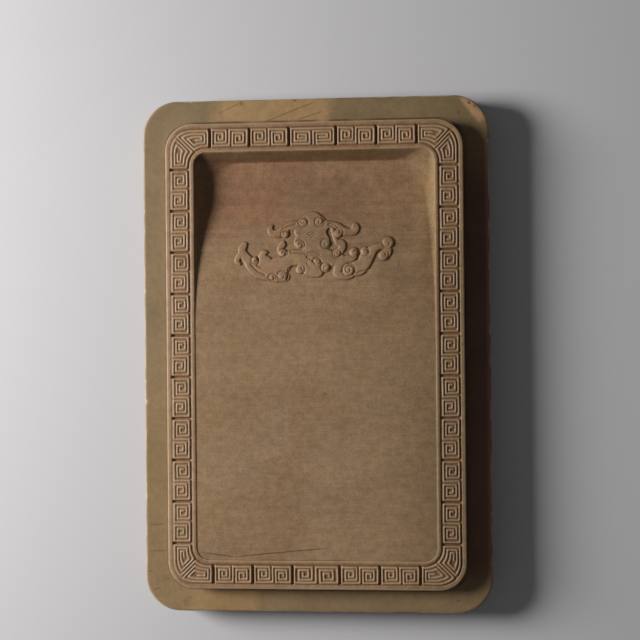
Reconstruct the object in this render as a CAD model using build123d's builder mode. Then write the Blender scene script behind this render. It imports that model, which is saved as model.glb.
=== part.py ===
from build123d import *
import math
import os

# An ink stone that lifts out of a shallow seat in a flanged stone base.
# Millimetres. +X across, +Y towards the ink pool, +Z up.
# The origin is under the middle of the base, on the surface it stands on.

# Base: a slab whose edge stands out as a flange all round the stone
base_width = 100.0
base_length = 148.0
base_thickness = 9.0
base_corner_radius = 10.0
base_edge_round = 0.6

# Stone
stone_width = 85.0
stone_length = 133.0
stone_thickness = 10.0
stone_corner_radius = 7.8
stone_edge_round = 0.4
stone_foot_round = 0.3

# Seat in the base and the fit of the stone in it
seat_depth = 5.5
seat_clearance = 0.3

# Bare recess cut in the underside of the stone
underside_depth = 1.2
underside_border = 9.0
underside_corner_radius = 5.0

# Carved rim: plain outer strip, fret band, plain bead along the well
outer_strip_width = 1.15
border_groove_width = 0.6
ridge_width = 0.48
fret_band_width = 4.82
bead_width = 1.03
fret_depth = 0.22
pair_gap_width = 0.75
pair_gap_depth = 0.6
corner_unit_length = 12.4
short_side_shares = (1.0, 1.0, 1.18, 1.0, 1.0)
long_side_shares = (1.0,) * 9

# Well: a level grinding floor that curves down into the ink pool
well_corner_radius = 3.7
floor_step = 0.24
level_floor_length = 66.0
pool_length = 14.3
pool_depth = 4.2
pool_cove_radius = 2.8

# Beast mask of cloud scrolls, raised on the slope
mask_width = 46.6
mask_steps_across = 13.4
mask_raise = 0.42
mask_root = 0.5
mask_middle_to_pool_end = 27.3

overrun = 2.0

# Places worked out from the sizes above
seat_floor = base_thickness - seat_depth
rim_top = seat_floor + stone_thickness
fret_outer_inset = outer_strip_width + border_groove_width
fret_inner_inset = fret_outer_inset + fret_band_width
bead_inset = fret_inner_inset + border_groove_width
well_inset = bead_inset + bead_width
well_width = stone_width - 2 * well_inset
well_length = stone_length - 2 * well_inset
row_pitch = (fret_band_width - ridge_width) / 5
first_row = fret_outer_inset + ridge_width / 2

# The ridge of one fret pair runs through a lattice of 11 columns and 6 rows,
# from the middle of its first spiral to the middle of its second.
turned_shares = (0.0, 0.104, 0.194, 0.322, 0.408, 0.5, 0.592, 0.678, 0.806, 0.896, 1.0)
turned_half_steps = (
    (2, 2), (2, 3), (3, 3), (3, 1), (1, 1), (1, 4), (4, 4), (4, 0), (0, 0), (0, 5), (5, 5),
)
corner_hook = (2.5, 2)
last_column = 10
last_row = 5

# The pair in the middle of the far side is two ridges whose spirals face each other.
facing_shares = (0.0, 0.086, 0.164, 0.355, 0.436, 0.523, 0.6, 0.664, 0.855, 0.927, 1.0)
facing_outer_steps = (
    (2.7, 3), (2, 3), (2, 2), (3, 2), (3, 4), (1, 4), (1, 1), (4, 1), (4, 5), (0, 5),
    (0, 0), (10, 0), (10, 5), (6, 5), (6, 2), (8, 2), (8, 3), (7, 3),
)
facing_inner_steps = ((6.6, 4), (9, 4), (9, 1), (5, 1), (5, 5))


def turned_pair(half_steps):
    """Lattice steps of a pair whose second half is the first turned round."""
    second = [(last_column - c, last_row - r) for c, r in reversed(half_steps)]
    return list(half_steps) + second


def column_place(column, shares, length):
    """Distance of a whole or part column from the start of its pair."""
    before = min(int(column), last_column - 1)
    step = shares[before + 1] - shares[before]
    return (shares[before] + step * (column - before)) * length


def straight_points(steps, shares, length):
    """Ridge corners of a straight pair: along x from 0, rows down from 0."""
    return [(column_place(c, shares, length), -r * row_pitch) for c, r in steps]


def row_inset(row):
    return first_row + row * row_pitch


def row_radius(row):
    """Corner radius of a ridge row, between those of the stone and the well."""
    outer = stone_corner_radius - row_inset(0)
    inner = well_corner_radius + well_inset - row_inset(last_row)
    return outer + (inner - outer) * row / last_row


def corner_cross_point(column, row):
    """Where a column meets a row in a corner unit, from the stone's corner.

    Columns 5 to 7 run beside the diagonal, and 8 to 10 square to the edge.
    """
    inset = row_inset(row)
    radius = row_radius(row)
    centre = inset + radius
    if column >= 8:
        across = corner_unit_length - (last_column - column) * row_pitch
        if across >= centre:
            return across, inset
        return across, centre - math.sqrt(radius**2 - (across - centre) ** 2)
    drop = (column - 5) * row_pitch * math.sqrt(2)
    across = centre + (drop - math.sqrt(2 * radius**2 - drop**2)) / 2
    return across, across - drop


def corner_row_points(first, last, row):
    """Points along a row between two of its columns, on its round stretch."""
    start = corner_cross_point(first, row)
    end = corner_cross_point(last, row)
    radius = row_radius(row)
    centre = row_inset(row) + radius
    points = [start]
    low, high = sorted((start[0], end[0]))
    turns = [k * math.pi / 16 for k in range(4, 9)]
    if start[0] > end[0]:
        turns.reverse()
    for turn in turns:
        across = centre - radius * math.cos(turn)
        if low + ridge_width < across < high - ridge_width:
            points.append((across, centre - radius * math.sin(turn)))
    points.append(end)
    return points


def corner_pair_points(steps):
    """Ridge corners of the pair that bends round a corner of the stone.

    Measured from the stone's corner, x and y growing towards its middle.
    """
    points = []
    for (c0, r0), (c1, r1) in zip(steps, steps[1:]):
        swapped = min(c0, c1) < 5
        if swapped:
            c0, c1 = last_column - c0, last_column - c1
        if r0 == r1:
            run = corner_row_points(c0, c1, r0)
        else:
            run = [corner_cross_point(c0, r0), corner_cross_point(c1, r1)]
        if swapped:
            run = [(y, x) for x, y in run]
        points += run if not points else run[1:]
    return points


def pair_gaps(side_length, shares):
    """Middle of each gap between the pairs of a side, from the side's middle."""
    run = side_length - 2 * corner_unit_length - ridge_width - pair_gap_width
    gaps = [-run / 2]
    for share in shares:
        gaps.append(gaps[-1] + run * share / sum(shares))
    return gaps


def side_pairs(side_length, shares):
    """Start of each pair's first ridge along a side, and its length."""
    gaps = pair_gaps(side_length, shares)
    room = pair_gap_width + ridge_width
    return [(low + room / 2, high - low - room) for low, high in zip(gaps, gaps[1:])]


def ridge(points):
    """Outline of one carved ridge, left standing in the fret band."""
    with BuildLine() as path:
        Polyline(*points)
    return trace(path.line, ridge_width, mode=Mode.PRIVATE)


# Base with its seat
with BuildPart() as base:
    with BuildSketch():
        RectangleRounded(base_width, base_length, base_corner_radius)
    extrude(amount=base_thickness)
    outer_edges = base.edges().group_by(Axis.Z)[0] + base.edges().group_by(Axis.Z)[-1]
    fillet(outer_edges, radius=base_edge_round)
    with BuildSketch(Plane.XY.offset(seat_floor)):
        RectangleRounded(
            stone_width + 2 * seat_clearance,
            stone_length + 2 * seat_clearance,
            stone_corner_radius + seat_clearance,
        )
    extrude(amount=seat_depth + overrun, mode=Mode.SUBTRACT)

# Hollow of the well: its outline, cut from below by the long profile of its floor.
# The floor leaves the level on one long arc and meets the pool's end in a cove.
well_end = well_length / 2
slope_start = level_floor_length - well_end
slope_end = well_end - pool_length
cove_start = well_end - pool_cove_radius
floor_top = rim_top - floor_step
pool_bottom = rim_top - pool_depth
with BuildPart() as well_hollow:
    with BuildSketch(Plane.XY.offset(pool_bottom - overrun)):
        RectangleRounded(well_width, well_length, well_corner_radius)
    extrude(amount=pool_depth + 2 * overrun)
    with BuildSketch(Plane.YZ) as floor_profile:
        with BuildLine():
            level = Line((-well_end - overrun, floor_top), (slope_start, floor_top))
            slope = TangentArc(level @ 1, (slope_end, pool_bottom), tangent=level % 1)
            pool = Line(slope @ 1, (cove_start, pool_bottom))
            cove = TangentArc(pool @ 1, (well_end, pool_bottom + pool_cove_radius), tangent=pool % 1)
            Polyline(
                cove @ 1,
                (well_end, rim_top),
                (well_end + overrun, rim_top),
                (well_end + overrun, rim_top + overrun),
                (-well_end - overrun, rim_top + overrun),
                level @ 0,
            )
        make_face()
    extrude(amount=well_width, both=True, mode=Mode.INTERSECT)

# Mask strokes: middle across, middle up and radius of each circle along a stroke,
# in steps of the mask's drawing from its middle.
mask_strokes = (
    ((-0.05, 2.1, 0.6), (-0.1, 1.3, 1.05), (-0.1, 0.7, 1.15), (0.0, -0.1, 0.95)),
    ((0.0, -0.1, 0.95), (0.0, -0.8, 0.75), (0.1, -1.5, 0.55), (0.3, -2.15, 0.38)),
    ((-0.85, 2.1, 0.4), (-0.55, 2.35, 0.4), (0.0, 2.47, 0.46), (0.55, 2.1, 0.42)),
    ((-0.95, 1.72, 0.5), (-1.75, 1.76, 0.4), (-2.5, 1.32, 0.42), (-3.1, 1.12, 0.33)),
    ((-3.1, 1.12, 0.33), (-3.5, 1.22, 0.3), (-3.6, 1.55, 0.24), (-3.42, 1.78, 0.1)),
    ((0.6, 1.75, 0.5), (1.3, 1.72, 0.42), (1.95, 1.55, 0.42), (2.4, 1.28, 0.38)),
    ((2.4, 1.28, 0.38), (2.95, 1.16, 0.3), (3.36, 1.28, 0.34), (3.42, 1.6, 0.34)),
    ((3.42, 1.6, 0.34), (3.3, 1.82, 0.14)),
    ((-2.1, 1.35, 0.2), (-2.45, 1.3, 0.25), (-2.4, 1.05, 0.3)),
    ((1.3, 1.72, 0.3), (1.8, 1.45, 0.38), (1.98, 1.12, 0.4)),
    ((-2.55, 0.42, 0.26), (-2.85, 0.1, 0.25), (-2.82, -0.3, 0.25), (-2.55, -0.5, 0.32)),
    ((2.0, 0.3, 0.3), (2.3, 0.18, 0.36), (2.32, -0.2, 0.3), (1.95, -0.55, 0.33)),
    ((-2.3, -0.65, 0.3), (-1.6, -0.75, 0.5), (-0.8, -0.8, 0.6)),
    ((-1.2, -1.0, 0.45), (-0.95, -1.4, 0.4), (-0.6, -1.85, 0.42), (0.2, -2.12, 0.4)),
    ((0.8, -0.7, 0.6), (1.5, -1.0, 0.62), (2.3, -1.2, 0.5)),
    ((-5.62, 0.3, 0.16), (-5.78, 0.14, 0.3), (-5.92, -0.35, 0.36), (-5.4, -1.05, 0.42)),
    ((-5.4, -1.05, 0.42), (-4.95, -1.5, 0.62), (-4.3, -1.85, 0.78), (-3.0, -1.75, 0.9)),
    ((-3.0, -1.75, 0.9), (-2.3, -1.2, 0.65)),
    ((-3.9, -1.2, 0.5), (-4.25, -0.85, 0.34), (-4.15, -0.5, 0.28), (-3.9, -0.42, 0.14)),
    ((-5.9, -0.45, 0.33), (-6.32, -0.8, 0.26), (-6.42, -1.12, 0.24), (-6.2, -1.34, 0.14)),
    ((2.3, -1.25, 0.5), (2.05, -1.75, 0.4), (1.92, -2.2, 0.33), (2.35, -2.42, 0.33)),
    ((2.35, -2.42, 0.33), (2.95, -2.3, 0.38), (3.2, -1.9, 0.3)),
    ((3.0, -1.5, 0.4), (3.6, -1.65, 0.5), (4.05, -1.5, 0.55), (4.4, -0.85, 0.58)),
    ((4.4, -0.85, 0.58), (4.85, -0.35, 0.38), (5.4, -0.05, 0.28), (5.9, 0.05, 0.38)),
    ((3.3, -2.35, 0.12), (3.85, -2.1, 0.3), (4.3, -1.6, 0.32)),
    ((5.9, 0.05, 0.38), (6.08, -0.35, 0.33), (5.9, -0.7, 0.4), (5.65, -0.78, 0.36)),
    ((2.7, -1.1, 0.35), (3.2, -0.95, 0.34), (3.3, -0.5, 0.34)),
)
mask_curls = (
    (-2.35, 1.08, 0.34), (2.02, 1.12, 0.4), (-1.15, 0.16, 0.4), (1.02, 0.24, 0.4),
    (-2.52, -0.52, 0.36), (1.92, -0.6, 0.36), (-4.92, -1.0, 0.3), (6.05, 0.36, 0.5),
    (5.66, -0.72, 0.44), (4.2, -0.42, 0.36), (3.32, -0.5, 0.4), (2.88, -1.95, 0.54),
    (0.98, -1.72, 0.4), (-1.1, -1.86, 0.38), (-3.4, -2.5, 0.3), (-2.66, -2.42, 0.4),
)
mask_step = mask_width / mask_steps_across
mask_middle = well_end - mask_middle_to_pool_end


def stroke_piece(start, end):
    """Corners of the piece of a stroke between two of its circles."""
    apart = math.dist(start[:2], end[:2])
    heading = math.atan2(end[1] - start[1], end[0] - start[0])
    lean = math.acos((start[2] - end[2]) / apart)
    corners = []
    for (x, y, radius), side in ((start, 1), (start, -1), (end, -1), (end, 1)):
        turn = heading + side * lean
        corners.append((x + radius * math.cos(turn), y + radius * math.sin(turn)))
    return [(x * mask_step, y * mask_step) for x, y in corners]


# The strokes are cut through a layer that follows the slope.
with BuildPart() as mask:
    with BuildSketch(Plane.XY.offset(pool_bottom)):
        with Locations((0, mask_middle)):
            pieces = []
            for stroke in mask_strokes:
                for start, end in zip(stroke, stroke[1:]):
                    pieces.append(Polygon(*stroke_piece(start, end), mode=Mode.PRIVATE))
            for circles in mask_strokes + (mask_curls,):
                for x, y, radius in circles:
                    with Locations((x * mask_step, y * mask_step)):
                        pieces.append(Circle(radius * mask_step, mode=Mode.PRIVATE))
        add(pieces)
    extrude(amount=pool_depth)
    with BuildSketch(Plane.YZ):
        with BuildLine():
            crest = TangentArc(
                (slope_start, floor_top + mask_raise),
                (slope_end, pool_bottom + mask_raise),
                tangent=(1, 0),
            )
            root = TangentArc(
                (slope_start, floor_top - mask_root),
                (slope_end, pool_bottom - mask_root),
                tangent=(1, 0),
            )
            Line(crest @ 0, root @ 0)
            Line(crest @ 1, root @ 1)
        make_face()
    extrude(amount=mask_width, both=True, mode=Mode.INTERSECT)

# Ink stone
with BuildPart() as ink_stone:
    with BuildSketch(Plane.XY.offset(seat_floor)):
        RectangleRounded(stone_width, stone_length, stone_corner_radius)
    extrude(amount=stone_thickness)
    fillet(ink_stone.edges().group_by(Axis.Z)[-1], radius=stone_edge_round)
    fillet(ink_stone.edges().group_by(Axis.Z)[0], radius=stone_foot_round)
    with BuildSketch(Plane.XY.offset(seat_floor)):
        RectangleRounded(
            stone_width - 2 * underside_border,
            stone_length - 2 * underside_border,
            underside_corner_radius,
        )
    extrude(amount=underside_depth, mode=Mode.SUBTRACT)
    add(well_hollow.part, mode=Mode.SUBTRACT)

    add(mask.part)

    with BuildSketch(Plane.XY.offset(rim_top)):
        RectangleRounded(
            stone_width - 2 * outer_strip_width,
            stone_length - 2 * outer_strip_width,
            stone_corner_radius - outer_strip_width,
        )
        RectangleRounded(
            stone_width - 2 * bead_inset,
            stone_length - 2 * bead_inset,
            well_corner_radius + bead_width,
            mode=Mode.SUBTRACT,
        )
        ridges = []
        for end in (-1, 1):
            row_start = stone_length / 2 - first_row
            pairs = side_pairs(stone_width, short_side_shares)
            for number, (start, length) in enumerate(pairs):
                runs = [(turned_pair(turned_half_steps), turned_shares)]
                if end > 0 and number == len(pairs) // 2:
                    runs = [(facing_outer_steps, facing_shares), (facing_inner_steps, facing_shares)]
                for steps, shares in runs:
                    points = straight_points(steps, shares, length)
                    points = [(end * (start + x), end * (row_start + y)) for x, y in points]
                    ridges.append(ridge(points))
            row_start = stone_width / 2 - first_row
            for start, length in side_pairs(stone_length, long_side_shares):
                points = straight_points(turned_pair(turned_half_steps), turned_shares, length)
                points = [(end * (row_start + y), -end * (start + x)) for x, y in points]
                ridges.append(ridge(points))
            for side in (-1, 1):
                points = corner_pair_points(turned_pair((corner_hook, *turned_half_steps)))
                far_x, far_y = stone_width / 2, stone_length / 2
                points = [(side * (far_x - x), end * (far_y - y)) for x, y in points]
                ridges.append(ridge(points))
        add(ridges, mode=Mode.SUBTRACT)
    extrude(amount=-fret_depth, mode=Mode.SUBTRACT)

    with BuildSketch(Plane.XY.offset(rim_top)):
        gap_middle = (fret_outer_inset + fret_inner_inset) / 2
        for end in (-1, 1):
            for place in pair_gaps(stone_width, short_side_shares):
                with Locations((place, end * (stone_length / 2 - gap_middle))):
                    Rectangle(pair_gap_width, fret_band_width)
            for place in pair_gaps(stone_length, long_side_shares):
                with Locations((end * (stone_width / 2 - gap_middle), place)):
                    Rectangle(fret_band_width, pair_gap_width)
    extrude(amount=-pair_gap_depth, mode=Mode.SUBTRACT)

os.makedirs("parts", exist_ok=True)
for piece, label in ((base, "base"), (ink_stone, "ink_stone")):
    piece.part.label = label
    export_step(piece.part, f"parts/{label}.step")
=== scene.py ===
import math

import bpy
import numpy as np
from mathutils import Euler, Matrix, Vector


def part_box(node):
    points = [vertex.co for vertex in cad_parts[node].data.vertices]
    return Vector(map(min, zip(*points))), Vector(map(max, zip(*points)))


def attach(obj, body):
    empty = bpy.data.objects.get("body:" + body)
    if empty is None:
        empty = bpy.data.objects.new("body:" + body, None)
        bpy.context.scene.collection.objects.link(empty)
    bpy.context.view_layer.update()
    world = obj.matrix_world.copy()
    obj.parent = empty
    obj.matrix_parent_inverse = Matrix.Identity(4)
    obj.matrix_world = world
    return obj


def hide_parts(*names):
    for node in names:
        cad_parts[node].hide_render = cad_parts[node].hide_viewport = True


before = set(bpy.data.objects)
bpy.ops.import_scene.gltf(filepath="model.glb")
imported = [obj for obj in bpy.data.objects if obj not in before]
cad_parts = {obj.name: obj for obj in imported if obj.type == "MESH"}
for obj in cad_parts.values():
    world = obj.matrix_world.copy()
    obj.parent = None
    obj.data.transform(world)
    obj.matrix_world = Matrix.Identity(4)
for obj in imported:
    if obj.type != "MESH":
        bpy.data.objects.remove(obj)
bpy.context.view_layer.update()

# Sizes are in millimetres unless a name says otherwise. The meshes are made in
# millimetres and turned into metres when they become Blender objects.
MM = 0.001

stone_low, stone_high = (Vector(corner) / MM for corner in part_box("ink_stone"))
base_low, base_high = (Vector(corner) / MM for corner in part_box("base"))
stone_width = stone_high.x - stone_low.x
stone_length = stone_high.y - stone_low.y
base_width = base_high.x - base_low.x
base_length = base_high.y - base_low.y
foot_z = stone_low.z
rim_z = stone_high.z
flange_z = base_high.z

# Rim, from the edge of the stone to the well
stone_radius = 7.8
top_round = 0.42
foot_round = 0.3
strip_width = 1.15
border_width = 0.6
fret_band_width = 4.82
bead_width = 1.03
bead_fall = 0.10
bead_lip = 0.12

# Fret: its ridges, the gaps between its pairs, and the shares of the pairs in a side
pair_columns = 11
pair_rows = 6
ridge_width = 0.48
top_half = 0.15
foot_half = 0.32
fret_depth = 0.22
pair_gap_width = 0.75
pair_gap_depth = 0.6
gap_overrun = 0.05
corner_length = 12.4
turn_length = 5.0
short_side_shares = (1.0, 1.0, 1.18, 1.0, 1.0)
long_side_shares = (1.0,) * 9

# Depth of the border grooves as a share of the fret's depth, what the depth gains
# at the left and the right edge, and how far in from the edge the two sides reach
border_groove_share = 1.25
left_border_share = 0.4
left_gain = -0.22
right_gain = 0.2
side_reach = 9.0
outer_fall = 0.2
inner_fall = 0.16
fall_lead = 0.08

first_row = strip_width + border_width + ridge_width / 2
row_pitch = (fret_band_width - ridge_width) / (pair_rows - 1)
last_row = first_row + (pair_rows - 1) * row_pitch
bead_inset = strip_width + 2 * border_width + fret_band_width
well_inset = bead_inset + bead_width

# Well. The lip before the end cove is placed in shares of the cove's width.
well_half_width = stone_width / 2 - well_inset
well_half_length = stone_length / 2 - well_inset
well_radius = 3.7
floor_step = 0.24
level_floor_length = 66.0
slope_power = 2.3
slope_foot_share = 0.08
pool_length = 14.3
pool_depth = 4.2
pool_radius = 8.5
pool_end_cove = 2.8
left_cove_share = 1.0
right_cove_share = 0.65
end_wall_power = 1.1
wall_top_drop = 0.14
end_lip = 0.07
end_lip_place = 1.12
end_lip_width = 0.09
end_lip_reach = 15
slab_overlap = 0.3
hidden_reach = 0.25
hidden_drop = 1.6
slope_start = level_floor_length - well_half_length
slope_length = well_half_length - pool_length - slope_start

# Underside recess of the stone
underside_depth = 1.2
underside_border = 9.0
underside_radius = 5.0
underside_round = 0.25
underside_arris = 0.07
hidden_ledge = 3.0


# Smooth seeded noise

lattice_size = 64
lattice_shift = (1000.37, 1000.71)


def smooth(x):
    x = np.clip(x, 0, 1)
    return x * x * (3 - 2 * x)


def noise(u, v, cell, seed):
    """Smooth noise from -1 to 1 with features about one cell wide."""
    table = np.random.default_rng(seed).random((lattice_size, lattice_size)) * 2 - 1
    u = np.asarray(u, float) / cell + lattice_shift[0]
    v = np.asarray(v, float) / cell + lattice_shift[1]
    iu = np.floor(u).astype(int)
    iv = np.floor(v).astype(int)
    fu = smooth(u - iu)
    fv = smooth(v - iv)
    here_u, next_u = iu % lattice_size, (iu + 1) % lattice_size
    here_v, next_v = iv % lattice_size, (iv + 1) % lattice_size
    low = table[here_u, here_v] * (1 - fu) + table[next_u, here_v] * fu
    high = table[here_u, next_v] * (1 - fu) + table[next_u, next_v] * fu
    return low * (1 - fv) + high * fv


def waves(u, v, layers):
    """A sum of noises, each given as its height, cell and seed."""
    return sum(height * noise(u, v, cell, seed) for height, cell, seed in layers)


# Fret pairs: their lines in steps of columns and rows, and the places of the columns

column_shares = (0.0, 0.104, 0.194, 0.322, 0.408, 0.5)
turned_half_steps = (
    (2, 2), (2, 3), (3, 3), (3, 1), (1, 1), (1, 4), (4, 4), (4, 0), (0, 0), (0, 5), (5, 5),
)
facing_shares = (0.0, 0.086, 0.164, 0.355, 0.436, 0.523, 0.60, 0.664, 0.855, 0.927, 1.0)
facing_lines = (
    (
        (2.7, 3), (2, 3), (2, 2), (3, 2), (3, 4), (1, 4), (1, 1), (4, 1), (4, 5), (0, 5),
        (0, 0), (10, 0), (10, 5), (6, 5), (6, 2), (8, 2), (8, 3), (7, 3),
    ),
    ((6.6, 4), (9, 4), (9, 1), (5, 1), (5, 5)),
)
corner_hook = (2.5, 2)
ridge_offsets = (-foot_half, -top_half, top_half, foot_half)
groove_line_step = 0.4
far_away = 9.0


def pair_lines(kind):
    """Lines of a whole pair in lattice steps: run, corner or facing."""
    if kind == "facing":
        return facing_lines
    half = list(turned_half_steps)
    if kind == "corner":
        half = [corner_hook, *half]
    return (half + [(pair_columns - 1 - c, pair_rows - 1 - r) for c, r in reversed(half)],)


def ridge_mask(along, inset, lines, columns):
    """1 on top of a ridge and 0 in a groove, at places along and across the band."""
    distance = np.full(np.broadcast(along, inset).shape, far_away)
    for steps in lines:
        places = [np.interp(c, range(pair_columns), columns) for c, _ in steps]
        points = [(place, first_row + r * row_pitch) for place, (_, r) in zip(places, steps)]
        for (u0, t0), (u1, t1) in zip(points, points[1:]):
            du = np.maximum(min(u0, u1) - along, along - max(u0, u1))
            dt = np.maximum(min(t0, t1) - inset, inset - max(t0, t1))
            distance = np.minimum(distance, np.maximum(np.maximum(du, dt), 0))
    fall = (distance - top_half) / (foot_half - top_half)
    return 1 - np.clip(fall, 0, 1)


def lines_through(columns):
    """Mesh lines on both faces of each ridge column and in the grooves between."""
    lines = []
    for number, column in enumerate(columns):
        lines += [column + offset for offset in ridge_offsets]
        if number + 1 < len(columns):
            low = column + foot_half
            high = columns[number + 1] - foot_half
            count = int((high - low) / groove_line_step)
            step = (high - low) / (count + 1)
            lines += [low + step * (k + 1) for k in range(count)]
    return lines


# Corner columns, measured from the diagonal: three beside it, then three at the far turn

turn_start = corner_length - 2 * row_pitch - turn_length
diagonal_columns = [start + k * row_pitch for start in (0.0, turn_start) for k in range(3)]
bend_low = diagonal_columns[2] + foot_half
bend_high = diagonal_columns[3] - foot_half


def row_radius(inset):
    """Corner radius of a line round the stone at this inset."""
    insets = (0.0, strip_width, first_row, last_row, bead_inset, well_inset, underside_border)
    outer = (stone_radius - place for place in insets[:3])
    inner = (well_radius + well_inset - last_row, well_radius + bead_width)
    radii = (*outer, *inner, well_radius, underside_radius)
    return np.interp(inset, insets, radii)


def inset_at(along, inset):
    """Distance from the side's edge of a line round the stone, at a place along the side."""
    radius = row_radius(inset)
    centre = inset + radius
    reach = np.clip(centre - along, 0, radius)
    return centre - np.sqrt(radius**2 - reach**2)


def corner_place(from_diagonal, inset):
    """(along, across) of a corner station, from the corner the side starts at."""
    radius = row_radius(inset)
    centre = inset + radius
    drop = np.minimum(from_diagonal, bend_low) * math.sqrt(2)
    beside = centre + (drop - np.sqrt(2 * radius**2 - drop**2)) / 2
    beside = np.where(beside > centre, inset + drop, beside)
    square = corner_length - (diagonal_columns[-1] - from_diagonal)
    edge = corner_length - (diagonal_columns[-1] - bend_high)
    share = np.clip((from_diagonal - bend_low) / (bend_high - bend_low), 0, 1)
    along = np.where(from_diagonal >= bend_high, square, beside * (1 - share) + edge * share)
    return along, inset_at(along, inset)


def side_length(side):
    return stone_width if side % 2 == 0 else stone_length


def pair_gaps(length, shares):
    """Middles of the gaps before, between and after the pairs of a side."""
    run = length - 2 * corner_length - ridge_width - pair_gap_width
    gaps = [(length - run) / 2]
    for share in shares:
        gaps.append(gaps[-1] + run * share / sum(shares))
    return gaps


def side_place(side, along, across):
    """x, y of a place on a side: 0 far end, 1 right, 2 near end, 3 left, clockwise."""
    half_w = stone_width / 2
    half_l = stone_length / 2
    if side % 2 == 0:
        x, y = along - half_w, half_l - across
    else:
        x, y = half_w - across, half_l - along
    return (x, y) if side < 2 else (-x, -y)


strip_line_insets = [0.6, 0.85]
bead_line_shares = (0.08, 0.25, 0.5, 0.75, 0.9, 1.0)


def rim_insets():
    """Insets of the mesh lines across the rim's top, from its edge to the well."""
    arris = [top_round * (1 - math.cos(a * math.pi / 8)) for a in range(5)]
    outer = [strip_width + step for step in (-fall_lead, 0, outer_fall)]
    rows = lines_through([first_row + k * row_pitch for k in range(pair_rows)])
    inner = [bead_inset - inner_fall, bead_inset]
    bead = [bead_inset + bead_width * share for share in bead_line_shares]
    return np.array(arris + strip_line_insets + outer + rows + inner + bead)


def run_columns(kind, low, high):
    """Places of a pair's columns between the gaps at its two ends."""
    room = pair_gap_width + ridge_width
    shares = column_shares + tuple(1 - s for s in reversed(column_shares[:-1]))
    if kind == "facing":
        shares = facing_shares
    return [low + room / 2 + share * (high - low - room) for share in shares]


def ring_stations():
    """Every mesh line across the rim: (side, part of it, place, pattern columns, kind, gap)."""
    stations = []
    corner_columns = [-c for c in reversed(diagonal_columns[1:])] + diagonal_columns
    corner_lines = [line for line in lines_through(diagonal_columns) if line > 0]
    corner_lines = [(line, line > diagonal_columns[-1] + top_half) for line in corner_lines]
    for side in range(4):
        shares = short_side_shares if side % 2 == 0 else long_side_shares
        for line, gap in [(0.0, False)] + corner_lines:
            stations.append((side, "start", line, corner_columns, "corner", gap))
        gaps = pair_gaps(side_length(side), shares)
        for number, (low, high) in enumerate(zip(gaps, gaps[1:])):
            kind = "facing" if side == 0 and number == len(shares) // 2 else "run"
            columns = run_columns(kind, low, high)
            stations.append((side, "run", low, columns, kind, True))
            for line in lines_through(columns):
                gap = line < columns[0] - top_half or line > columns[-1] + top_half
                stations.append((side, "run", line, columns, kind, gap))
        stations.append((side, "run", gaps[-1], columns, kind, True))
        for line, gap in reversed(corner_lines):
            stations.append((side, "end", line, corner_columns, "corner", gap))
    return stations


def ring_grid(insets):
    """x, y, ridge mask and gap mark of each station and inset."""
    xs, ys, masks, gaps = [], [], [], []
    for side, part, line, columns, kind, gap in ring_stations():
        length = side_length(side)
        pattern = line
        if part == "run":
            along = np.full(insets.shape, line)
            across = inset_at(np.minimum(along, length - along), insets)
        else:
            along, across = corner_place(line, insets)
            if part == "end":
                along = length - along
                pattern = -line
        x, y = side_place(side, along, across)
        xs.append(x)
        ys.append(y)
        masks.append(ridge_mask(pattern, insets, pair_lines(kind), columns))
        gaps.append(np.full(insets.shape, gap))
    return np.array(xs), np.array(ys), np.array(masks), np.array(gaps)


def rim_depth(xs, insets, masks, gaps):
    """How far the carved top lies under the plain top.

    The fret is cut a little shallower along the left side and deeper along the
    right side, and the outer border groove is lightest along the left side.
    """
    band = smooth((insets - strip_width) / outer_fall)
    band = band * smooth((bead_inset - insets) / inner_fall)
    left = smooth(1 - (xs + stone_width / 2) / side_reach)
    right = smooth(1 - (stone_width / 2 - xs) / side_reach)
    depth = band * fret_depth * (1 - masks) * (1.0 + left_gain * left + right_gain * right)
    outer = border_groove_share + (left_border_share - border_groove_share) * left
    depth = np.where(insets < first_row, outer * depth, depth)
    depth = np.where(insets > last_row, border_groove_share * depth, depth)
    slot = gaps & (insets > first_row - foot_half - gap_overrun)
    slot = slot & (insets < last_row + foot_half + gap_overrun)
    depth = np.where(slot, np.maximum(depth, pair_gap_depth), depth)
    arris = np.clip(1 - insets / top_round, 0, 1)
    depth = depth + top_round * (1 - np.sqrt(1 - arris**2))
    bead_share = (insets - bead_inset) / bead_width
    bead = bead_fall * (2 * np.clip(bead_share, 0, 1) - 1) ** 2
    return depth + np.where(bead_share >= 0, bead, 0)


def rim_wear_and_highlight(xs, insets, depth):
    """How much lighter the carved top is, from wear and painted highlight: on the ridges and both
    arrises, and as painted highlight on the strip along the lit left side.
    """
    band = smooth((insets - strip_width) / 0.3) * smooth((bead_inset - insets) / 0.2)
    # Ridge tops lighter: wear, and painted highlight where the raking light catches them
    ridges = band * smooth(1.25 - depth / (0.7 * fret_depth))
    arrises = smooth((0.7 - insets) / 0.5) + 0.7 * smooth((insets - bead_inset - 0.5) / 0.3)
    # Painted highlight: the outer strip lighter only along the left side, which faces the lamp
    strip = 0.6 * smooth((strip_width - insets) / 0.2) * smooth(-xs - stone_width / 2 + 3)
    return np.maximum(np.maximum(ridges, arrises), strip)


# The carver's hand: ridges wander a little, and no top is quite level
hand_x = ((0.055, 2.3, 11), (0.05, 6.0, 12))
hand_y = ((0.055, 2.3, 13), (0.05, 6.0, 14))
hand_z = ((0.03, 1.1, 15), (0.02, 5.0, 16))

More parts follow.
